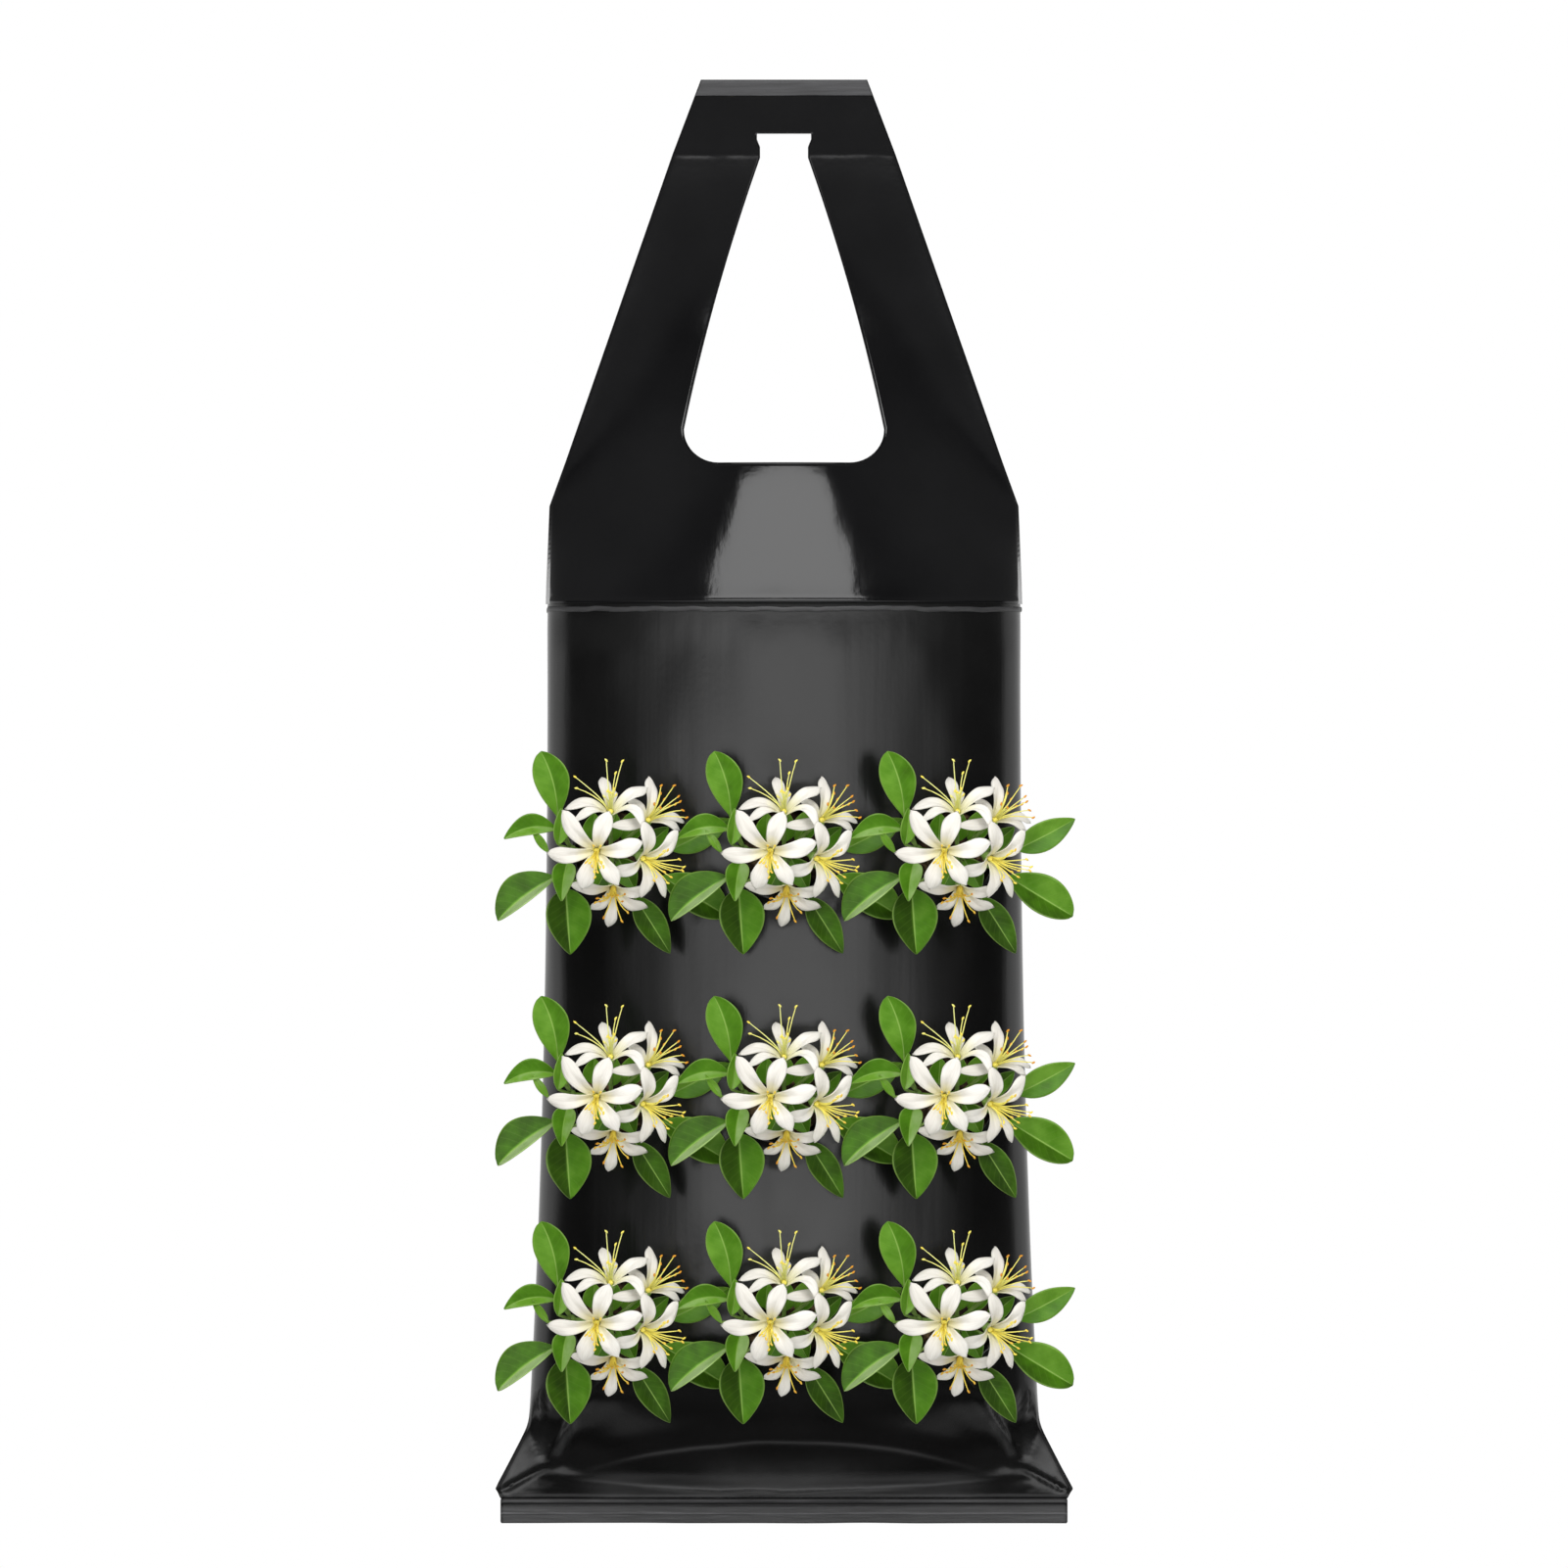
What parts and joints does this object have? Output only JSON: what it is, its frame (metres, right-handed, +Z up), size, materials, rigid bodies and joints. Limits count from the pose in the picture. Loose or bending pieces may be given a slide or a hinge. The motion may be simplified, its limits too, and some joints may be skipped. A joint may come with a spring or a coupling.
{
  "type": "hanging planter bag",
  "caption": "Hanging black film grow bag with a die-cut handle, filled with compost and planted with flowering seedlings through round holes.",
  "frame": {"origin": "middle of the hanging slot's top edge, where the hook bears", "axes": "+Z up, -Y towards the planted face, +X to the right seen from the front"},
  "size_m": [0.224, 0.1437, 0.5601],
  "materials": {
    "header_film": "dull black polyethylene film",
    "bag_film": "glossy black polyethylene film, creased",
    "welded_film": "heat-welded polyethylene film, dull and ribbed",
    "compost": "crumbly and matt",
    "root_plug": "rooted compost, matt",
    "stem": "green, smooth",
    "leaf": "waxy green leaf",
    "petal": "soft white petal"
  },
  "bodies": {
    "hanger_tab": {"top_hem": "welded_film", "tab_front_film": "header_film", "tab_back_film": "header_film", "crease_fold_left": "header_film", "crease_fold_right": "header_film"},
    "bag": {"handle_front_film": "header_film", "handle_back_film": "header_film", "seam_bead": "welded_film", "body_sleeve": "bag_film", "bottom_seal": "welded_film", "compost": "compost", "plant_1_1_root_plug": "root_plug", "plant_1_2_root_plug": "root_plug", "plant_1_3_root_plug": "root_plug", "plant_2_1_root_plug": "root_plug", "plant_2_2_root_plug": "root_plug", "plant_2_3_root_plug": "root_plug", "plant_3_1_root_plug": "root_plug", "plant_3_2_root_plug": "root_plug", "plant_3_3_root_plug": "root_plug"},
    "plant_1_1": {"plant_1_1_stems": "stem", "plant_1_1_leaves": "leaf", "plant_1_1_blossoms": "petal"},
    "plant_1_2": {"plant_1_2_stems": "stem", "plant_1_2_leaves": "leaf", "plant_1_2_blossoms": "petal"},
    "plant_1_3": {"plant_1_3_stems": "stem", "plant_1_3_leaves": "leaf", "plant_1_3_blossoms": "petal"},
    "plant_2_1": {"plant_2_1_stems": "stem", "plant_2_1_leaves": "leaf", "plant_2_1_blossoms": "petal"},
    "plant_2_2": {"plant_2_2_stems": "stem", "plant_2_2_leaves": "leaf", "plant_2_2_blossoms": "petal"},
    "plant_2_3": {"plant_2_3_stems": "stem", "plant_2_3_leaves": "leaf", "plant_2_3_blossoms": "petal"},
    "plant_3_1": {"plant_3_1_stems": "stem", "plant_3_1_leaves": "leaf", "plant_3_1_blossoms": "petal"},
    "plant_3_2": {"plant_3_2_stems": "stem", "plant_3_2_leaves": "leaf", "plant_3_2_blossoms": "petal"},
    "plant_3_3": {"plant_3_3_stems": "stem", "plant_3_3_leaves": "leaf", "plant_3_3_blossoms": "petal"}
  },
  "joints": [
    {"name": "bag_swing", "type": "hinge", "parent": "hanger_tab", "child": "bag", "pos_m": [0, 0, -0.008], "axis": [1, 0, 0], "range_deg": [-30, 30]},
    {"name": "plant_1_1_nod", "type": "hinge", "parent": "bag", "child": "plant_1_1", "pos_m": [-0.0665, -0.0306, -0.2785], "axis": [1, 0, 0], "range_deg": [-8, 8], "stiffness_Nm_per_rad": 0.05},
    {"name": "plant_1_2_nod", "type": "hinge", "parent": "bag", "child": "plant_1_2", "pos_m": [0, -0.044, -0.2785], "axis": [1, 0, 0], "range_deg": [-8, 8], "stiffness_Nm_per_rad": 0.05},
    {"name": "plant_1_3_nod", "type": "hinge", "parent": "bag", "child": "plant_1_3", "pos_m": [0.0665, -0.0306, -0.2785], "axis": [1, 0, 0], "range_deg": [-8, 8], "stiffness_Nm_per_rad": 0.05},
    {"name": "plant_2_1_nod", "type": "hinge", "parent": "bag", "child": "plant_2_1", "pos_m": [-0.0665, -0.03116, -0.3725], "axis": [1, 0, 0], "range_deg": [-8, 8], "stiffness_Nm_per_rad": 0.05},
    {"name": "plant_2_2_nod", "type": "hinge", "parent": "bag", "child": "plant_2_2", "pos_m": [0, -0.044, -0.3725], "axis": [1, 0, 0], "range_deg": [-8, 8], "stiffness_Nm_per_rad": 0.05},
    {"name": "plant_2_3_nod", "type": "hinge", "parent": "bag", "child": "plant_2_3", "pos_m": [0.0665, -0.03116, -0.3725], "axis": [1, 0, 0], "range_deg": [-8, 8], "stiffness_Nm_per_rad": 0.05},
    {"name": "plant_3_1_nod", "type": "hinge", "parent": "bag", "child": "plant_3_1", "pos_m": [-0.0665, -0.03213, -0.459], "axis": [1, 0, 0], "range_deg": [-8, 8], "stiffness_Nm_per_rad": 0.05},
    {"name": "plant_3_2_nod", "type": "hinge", "parent": "bag", "child": "plant_3_2", "pos_m": [0, -0.044, -0.459], "axis": [1, 0, 0], "range_deg": [-8, 8], "stiffness_Nm_per_rad": 0.05},
    {"name": "plant_3_3_nod", "type": "hinge", "parent": "bag", "child": "plant_3_3", "pos_m": [0.0665, -0.03213, -0.459], "axis": [1, 0, 0], "range_deg": [-8, 8], "stiffness_Nm_per_rad": 0.05}
  ]
}
